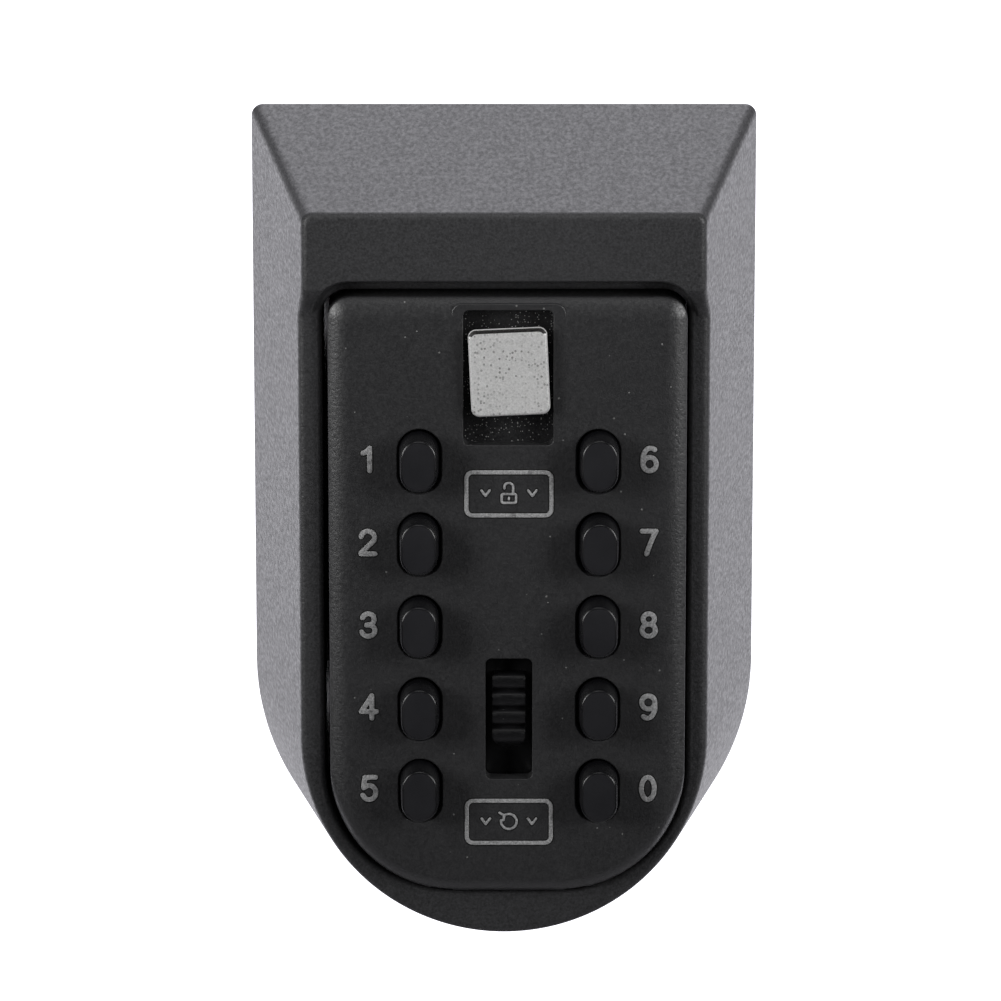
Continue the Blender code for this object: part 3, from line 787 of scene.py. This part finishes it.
def make_slider():
    base = box(-4.6, 4.6, -28.0, -5.0, 42.2, 43.4)
    top, bottom, ridges = -12.7, -22.8, 4
    pitch = (-22.6 + 12.7) / ridges
    # saw-tooth ridges: a rounded crest, a long flank and a sharp groove
    profile = [(42.8, top), (44.9, top)]
    for k in range(ridges):
        z = top + k * pitch
        last = k == ridges - 1
        profile += [(45.35, z - 0.04), (45.62, z - 0.16), (45.78, z - 0.36),
                    (45.83, z - 0.62), (45.8, z - 1.0), (45.68, z - 1.45),
                    (45.5, z - 1.85)]
        if not last:
            profile += [(45.3, z + pitch + 0.5), (45.12, z + pitch + 0.34),
                        (45.0, z + pitch + 0.2), (44.95, z + pitch + 0.07)]
        else:
            profile += [(45.2, z - 2.2), (44.9, bottom + 0.12), (44.6, bottom)]
    profile.append((42.8, bottom))
    rib = along_x(profile, -2.2, 2.2)
    shape = plate(arc(1.5, top - 0.55, 0.75, 0, 90, 8)
                  + arc(-1.5, top - 0.55, 0.75, 90, 180, 8)
                  + arc(-0.35, bottom + 1.85, 1.9, 180, 270, 16)
                  + arc(0.35, bottom + 1.85, 1.9, 270, 360, 16), 41.0, 47.0)
    rib = carve(rib, [("INTERSECT", shape)])
    tools = [(JOIN, rib),
             (JOIN, box(-1.5, 1.5, -20.0, -16.0, 33.9, 42.8)),
             (JOIN, box(-2.4, 2.4, -28.0, -26.6, 38.0, 42.8))]
    mesh = bevelled(carve(base, tools), 0.07, 2, 50)
    placed("slider_moulding", shade(mesh, 35), SLIDE, "clear",
           "satin_black_plastic", "clear_slider")


# ---- springs, pins, screws, rod --------------------------------------------
def coil_mesh(r, wire, length, turns, axis, per_turn=28, sides=8):
    """Coil with closed, ground-looking ends, from the origin along +axis."""
    steps = int(turns * per_turn)
    loops = []
    dead = 0.8 / turns
    for k in range(steps + 1):
        t = k / steps
        u = min(max((t - dead) / (1 - 2 * dead), 0.0), 1.0)
        lift = wire / 2 + (wire * 0.75) * min(t / dead, 1.0)
        lift += (wire * 0.75) * max((t - (1 - dead)) / dead, 0.0)
        along = lift + (length - wire - 1.5 * wire) * u
        a = 2 * math.pi * turns * t
        loop = []
        for s in range(sides):
            b = 2 * math.pi * s / sides
            rad = r + wire * 0.5 * math.cos(b)
            h = along + wire * 0.5 * math.sin(b)
            x, y = rad * math.cos(a), rad * math.sin(a)
            loop.append((x, h, y) if axis == "Y" else (x, y, h))
        loops.append(loop)
    return loft(loops, 60)


def make_springs():
    length = 5.6
    source = coil_mesh(2.35, 0.45, length, 4.5, "Y")
    for digit, x, z in button_places():
        mesh = source.copy()
        mesh.transform(mathutils.Matrix.Translation((x * MM, -42.0 * MM, z * MM)))
        ob = placed("coil_" + digit, mesh, WIRE, "door", "spring_wire",
                    "button_spring_" + digit)
        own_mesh(ob)
    mesh = coil_mesh(1.95, 0.5, 16.7, 9, "Z")
    mesh.transform(mathutils.Matrix.Translation((0.0, -39.7 * MM, 10.0 * MM)))
    ob = placed("lever_coil", mesh, WIRE, "door", "spring_wire", "lever_spring")
    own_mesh(ob)
    mesh = coil_mesh(1.65, 0.45, 10.1, 6, "Z")
    mesh.transform(mathutils.Matrix.Translation((0.0, -40.1 * MM, -38.4 * MM)))
    ob = placed("clear_coil", mesh, WIRE, "door", "spring_wire", "clear_spring")
    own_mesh(ob)


def make_pins():
    full = circle(1.6, 40)
    low = [(max(x, -0.3), z) for x, z in full]
    high = [(min(x, 0.3), z) for x, z in full]
    rest, deep = (35.25, 33.75), (37.85, 36.35)
    chamfer = 0.2
    small = circle(1.6 - chamfer, 40)
    loops = [at_depth(small, 45.3), at_depth(full, 45.3 - chamfer),
             at_depth(full, deep[0]), at_depth(high, deep[0]),
             at_depth(high, deep[1]), at_depth(full, deep[1]),
             at_depth(full, rest[0]), at_depth(low, rest[0]),
             at_depth(low, rest[1]), at_depth(full, rest[1]),
             at_depth(full, 31.9 + chamfer), at_depth(small, 31.9)]
    base = loft(loops, 30)
    source = carve(base, [(CUT, box(-2.2, 2.2, -0.35, 0.35, 30.9, 32.7))])
    source = shade(source, 30)
    for digit, x, z in button_places():
        mesh = source.copy()
        mesh.transform(mathutils.Matrix.Translation((x * MM, 0.0, z * MM)))
        placed("pin_" + digit, mesh, BRASS, "code_rod_" + digit, "pin_brass",
               "code_pin_" + digit)


def make_screws():
    d = 31.5
    loops = []
    for i in range(7):
        t = math.radians(90.0 * i / 6)
        r = 1.35 + 0.65 * math.sin(t)
        loops.append(at_depth(circle(r, 36), d - 1.2 + 0.75 * (1 - math.cos(t))))
    loops += [at_depth(circle(2.0, 36), d), at_depth(circle(0.95, 36), d),
              at_depth(circle(0.95, 36), 37.3), at_depth(circle(0.5, 36), 37.9)]
    base = loft(loops, 30)
    tools = [(CUT, box(-1.1, 1.1, -0.24, 0.24, d - 2.0, d - 0.5)),
             (CUT, box(-0.24, 0.24, -1.1, 1.1, d - 2.1, d - 0.5))]
    source = shade(carve(base, tools), 30)
    names = ("upper_left", "upper_right", "lower_left", "lower_right")
    for name, (x, z) in zip(names, BOSS):
        mesh = source.copy()
        turn = mathutils.Matrix.Rotation(random.uniform(0, 1.5), 4, "Y")
        mesh.transform(mathutils.Matrix.Translation((x * MM, 0.0, z * MM)) @ turn)
        placed("screw_" + name, mesh, SCREW, "door", "screw_steel",
               "back_screw_" + name)


def make_rod():
    loops = []
    for x, r in ((-12.2, 0.45), (-12.05, 0.6), (12.05, 0.6), (12.2, 0.45)):
        loops.append([(x, -(PIVOT_D + r * math.cos(2 * math.pi * i / 32)),
                       PIVOT_Z + r * math.sin(2 * math.pi * i / 32))
                      for i in range(32)])
    placed("rod", loft(loops, 30), ROD, "door", "rod_steel", "hinge_rod")


# ---- markings --------------------------------------------------------------
def ellipse_pts(cx, cz, rx, rz, a0, a1, n):
    out = []
    for i in range(n + 1):
        a = math.radians(a0 + (a1 - a0) * i / n)
        out.append((cx + rx * math.cos(a), cz + rz * math.sin(a)))
    return out


def digit_strokes(d):
    """Centre lines of a plain round-ended numeral, 3.05 high, about (0, 0)."""
    h = 1.52
    if d == "1":
        return [[(-0.6, 0.82), (-0.1, 1.05), (0.3, 1.5), (0.3, -h)]]
    if d == "2":
        return [ellipse_pts(0.0, 0.66, 0.9, 0.86, 172, -32, 16)
                + [(-0.92, -1.4)], [(-0.92, -h), (0.95, -h)]]
    if d == "3":
        return [ellipse_pts(0.0, 0.76, 0.80, 0.76, 165, -90, 16),
                ellipse_pts(0.0, -0.74, 0.90, 0.78, 90, -165, 17),
                [(-0.2, 0.0), (0.1, 0.0)]]
    if d == "4":
        return [[(0.42, -h), (0.42, h), (-1.0, -0.62), (1.05, -0.62)]]
    if d == "5":
        return [[(0.85, h), (-0.55, h), (-0.76, 0.2)]
                + ellipse_pts(0.0, -0.55, 0.92, 0.97, 140, -158, 18)]
    if d == "6":
        return [ellipse_pts(0.0, -0.62, 0.90, 0.90, 0, 360, 28),
                ellipse_pts(0.12, 0.0, 1.02, h, 58, 195, 14)]
    if d == "7":
        return [[(-0.95, h), (0.92, h)]
                + [(0.92 - 1.28 * t ** 0.85, h - 2 * h * t)
                   for t in (0.2, 0.4, 0.6, 0.8, 1.0)]]
    if d == "8":
        return [ellipse_pts(0.0, 0.80, 0.76, 0.72, 0, 360, 26),
                ellipse_pts(0.0, -0.70, 0.90, 0.82, 0, 360, 28)]
    if d == "9":
        return [ellipse_pts(0.0, 0.62, 0.90, 0.90, 0, 360, 28),
                ellipse_pts(-0.12, 0.0, 1.02, h, -122, 15, 14)]
    return [ellipse_pts(0.0, 0.0, 0.88, h, 0, 360, 36)]


def capsule(bm, a, b, r, n=14):
    """Round-ended rod in the x-z plane from a to b, added to bm."""
    (x0, z0), (x1, z1) = a, b
    length = math.hypot(x1 - x0, z1 - z0)
    ux, uz = ((x1 - x0) / length, (z1 - z0) / length) if length > 1e-6 else (1.0, 0.0)
    rings = []
    for end, (cx, cz), sign in ((0, a, -1), (1, b, 1)):
        order = range(1, 5) if sign < 0 else range(4, 0, -1)
        for k in order:
            t = math.radians(90.0 * k / 4)
            off, rad = r * math.cos(t) * sign, r * math.sin(t)
            ring = []
            for i in range(n):
                p = 2 * math.pi * i / n
                side, up = rad * math.cos(p), rad * math.sin(p)
                ring.append(bm.verts.new((cx + ux * off - uz * side, up,
                                          cz + uz * off + ux * side)))
            rings.append(ring)
    for ra, rb in zip(rings, rings[1:]):
        for i in range(n):
            j = (i + 1) % n
            bm.faces.new((ra[i], ra[j], rb[j], rb[i]))
    tips = [bm.verts.new((a[0] - ux * r, 0.0, a[1] - uz * r)),
            bm.verts.new((b[0] + ux * r, 0.0, b[1] + uz * r))]
    for i in range(n):
        j = (i + 1) % n
        bm.faces.new((tips[0], rings[0][j], rings[0][i]))
        bm.faces.new((tips[1], rings[-1][i], rings[-1][j]))


def stroke_mesh(strokes, cx, cz, width, back, front):
    """One closed bead along the strokes; it reaches `back` below and `front`
    above the door's face."""
    bm = bmesh.new()
    for pts in strokes:
        for a, b in zip(pts, pts[1:]):
            capsule(bm, a, b, width / 2)
    mesh = bpy.data.meshes.new("strokes")
    bm.to_mesh(mesh)
    bm.free()
    ob = link("strokes", mesh)
    mod = ob.modifiers.new("remesh", "REMESH")
    mod.mode = "VOXEL"
    mod.voxel_size = 0.055
    smooth = ob.modifiers.new("smooth", "SMOOTH")
    smooth.factor = 0.5
    smooth.iterations = 2
    out = applied(ob)
    bpy.data.objects.remove(ob, do_unlink=True)
    bpy.data.meshes.remove(mesh)
    half = width / 2
    for v in out.vertices:
        up = -v.co.y / half
        d = LID_FACE + (front * up if up > 0 else back * up)
        v.co = ((v.co.x + cx) * MM, -d * MM, (v.co.z + cz) * MM)
    return shade(out, 180)


def add_marking(name, strokes, cx, cz, width):
    # a wider near-black bead round each mark is painted shade of an engraved groove; the
    # grey paint fills the middle
    line = stroke_mesh(strokes, cx, cz, width + 0.34, 0.05, 0.012)
    placed(name + "_painted_groove_shade", line, PAINTED_GROOVE_SHADE, "door", "powder_coat_door")
    fill = stroke_mesh(strokes, cx, cz, width, 0.05, 0.05)
    placed(name, fill, PAINT, "door", "powder_coat_door")


def frame_strokes(hw, hh, r):
    pts = (arc(hw - r, hh - r, r, 0, 90, 6) + arc(-hw + r, hh - r, r, 90, 180, 6)
           + arc(-hw + r, -hh + r, r, 180, 270, 6) + arc(hw - r, -hh + r, r, 270, 360, 6))
    return [pts + [pts[0]]]


def chevron(x):
    return [(x - 0.55, 0.4), (x, -0.35), (x + 0.55, 0.4)]


def make_markings():
    for digit, x, z in button_places():
        cx = -18.72 if x < 0 else 18.62
        bold = [[(0.99 * a, 1.02 * b) for a, b in line]
                for line in digit_strokes(digit)]
        add_marking("digit_" + digit, bold, cx, z + 0.35, 0.69)
    fz, cz = 12.35, -32.85
    add_marking("frame_open", frame_strokes(5.64, 2.93, 0.85), 0.0, fz - 0.08, 0.57)
    add_marking("frame_clear", frame_strokes(5.64, 2.93, 0.85), 0.0, cz - 0.05, 0.57)
    # pictograms: a padlock with its bow swung open, and an arrow that turns
    # back to its start, each between two marks for "push down"
    lock = [arc(0.75, -1.1, 0.2, -90, 0, 3) + arc(0.75, -0.3, 0.2, 0, 90, 3)
            + arc(-0.75, -0.3, 0.2, 90, 180, 3) + arc(-0.75, -1.1, 0.2, 180, 270, 3)
            + [(0.75, -1.3)],
            [(0.56, -0.1), (0.56, 0.85)] + ellipse_pts(-0.02, 0.85, 0.58, 0.56, 0, 180, 10)
            + [(-0.6, 0.68)],
            [(0.0, -0.6), (0.0, -0.8)]]
    add_marking("sign_open_lock", lock + [chevron(-3.1), chevron(3.1)],
                0.0, fz, 0.34)
    back = [ellipse_pts(0.0, 0.0, 1.05, 1.05, 125, -190, 20),
            [(-1.25, 1.2), (-0.6, 0.86), (-0.72, 0.2)]]
    add_marking("sign_clear_arrow", back + [chevron(-3.1), chevron(3.1)],
                0.0, cz, 0.34)


# ---- CAD pieces that keep their own shape ----------------------------------
def dress_cad():
    for node, mat in (("guide_plate", GUIDE), ("latch_plate", LATCH),
                      ("reset_plate", RESET), ("back_plate", COVER)):
        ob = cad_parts[node]
        if not ob.material_slots:
            ob.data.materials.append(mat)
        for s in ob.material_slots:
            s.material = mat


# ---- stage, light, camera --------------------------------------------------
def make_stage():
    floor = link("floor", loft([
        [(500 * math.cos(2 * math.pi * i / 64), 500 * math.sin(2 * math.pi * i / 64), z)
         for i in range(64)] for z in (-452.0, -450.0)]))
    k = Mat("floor_pale", (0.82, 0.82, 0.82), 0.7)
    floor.data.materials.append(k.m)


def make_light():
    world = bpy.data.worlds.new("studio")
    bpy.context.scene.world = world
    world.use_nodes = True
    t = world.node_tree
    bg = t.nodes["Background"]
    coord = t.nodes.new("ShaderNodeTexCoord").outputs["Generated"]
    sep = t.nodes.new("ShaderNodeSeparateXYZ")
    t.links.new(coord, sep.inputs["Vector"])

    def span(sock, lo, hi, a, b):
        n = t.nodes.new("ShaderNodeMapRange")
        n.interpolation_type = "SMOOTHSTEP"
        for key, v in (("From Min", lo), ("From Max", hi), ("To Min", a), ("To Max", b)):
            n.inputs[key].default_value = v
        t.links.new(sock, n.inputs["Value"])
        return n.outputs["Result"]

    def calc(op, a, b):
        n = t.nodes.new("ShaderNodeMath")
        n.operation = op
        for s, v in zip(n.inputs, (a, b)):
            if isinstance(v, (int, float)):
                s.default_value = v
            else:
                t.links.new(v, s)
        return n.outputs["Value"]

    # bright behind, dim in front, with two dim corners high behind; the
    # plain backdrop seen by the camera is white all round
    back = span(sep.outputs["Y"], 0.0, 0.45, WORLD_FRONT, WORLD_BACK)
    aside = calc("ABSOLUTE", sep.outputs["X"], 0.0)
    corner = calc("MULTIPLY", span(aside, 0.20, 0.46, 0.0, 1.0),
                  span(sep.outputs["Z"], -0.12, 0.12, 0.0, 1.0))
    back = calc("MULTIPLY", back, calc("SUBTRACT", 1.0, calc("MULTIPLY", corner, 0.93)))
    ray = t.nodes.new("ShaderNodeLightPath").outputs["Is Camera Ray"]
    t.links.new(calc("MAXIMUM", back, calc("MULTIPLY", ray, 1.1)),
                bg.inputs["Strength"])
    bg.inputs["Color"].default_value = (0.95, 0.94, 1.0, 1.0)

    def area(name, loc, target, size, power, size_y, spread):
        li = bpy.data.lights.new(name, "AREA")
        li.energy = power
        li.spread = math.radians(spread)
        li.shape = "RECTANGLE"
        li.size = size
        li.size_y = size_y
        ob = bpy.data.objects.new(name, li)
        bpy.context.scene.collection.objects.link(ob)
        ob.location = loc
        d = mathutils.Vector(target) - mathutils.Vector(loc)
        ob.rotation_euler = d.to_track_quat("-Z", "Y").to_euler()
        return ob

    for spec in LIGHTS:
        area(*spec)


def make_camera():
    dist, pitch, f_px = 0.84167, 0.229342, 5992.25
    cam = bpy.data.cameras.new("camera")
    cam.sensor_width = 36.0
    cam.lens = f_px / 1001.0 * 36.0
    cam.shift_x = -3.5 / 1001.0
    cam.clip_start = 0.01
    cam.clip_end = 20.0
    ob = bpy.data.objects.new("camera", cam)
    bpy.context.scene.collection.objects.link(ob)
    fwd = mathutils.Vector((0.0, math.cos(pitch), -math.sin(pitch)))
    ob.location = mathutils.Vector((0.0, 0.0, 0.000517)) - fwd * dist
    ob.rotation_euler = fwd.to_track_quat("-Z", "Y").to_euler()
    bpy.context.scene.camera = ob


WORLD_FRONT, WORLD_BACK = 0.02, 1.72
# name, place, aim, width, power in watts, height, spread in degrees
LIGHTS = (
    ("left", (-0.34, -0.27, 0.17), (0.0, -0.045, 0.08), 0.13, 0.165, 0.34, 60),
    ("right", (0.34, -0.27, 0.17), (0.0, -0.045, 0.08), 0.13, 0.155, 0.34, 60),
    ("top", (0.0, -0.17, 0.27), (0.0, -0.045, 0.02), 0.20, 0.04, 0.08, 120),
)

bpy.context.scene.view_settings.view_transform = "Standard"

make_housing()
make_lid()
make_caps()
make_lever()
make_slider()
make_springs()
make_pins()
make_screws()
make_rod()
make_markings()
dress_cad()
make_stage()
make_light()
make_camera()
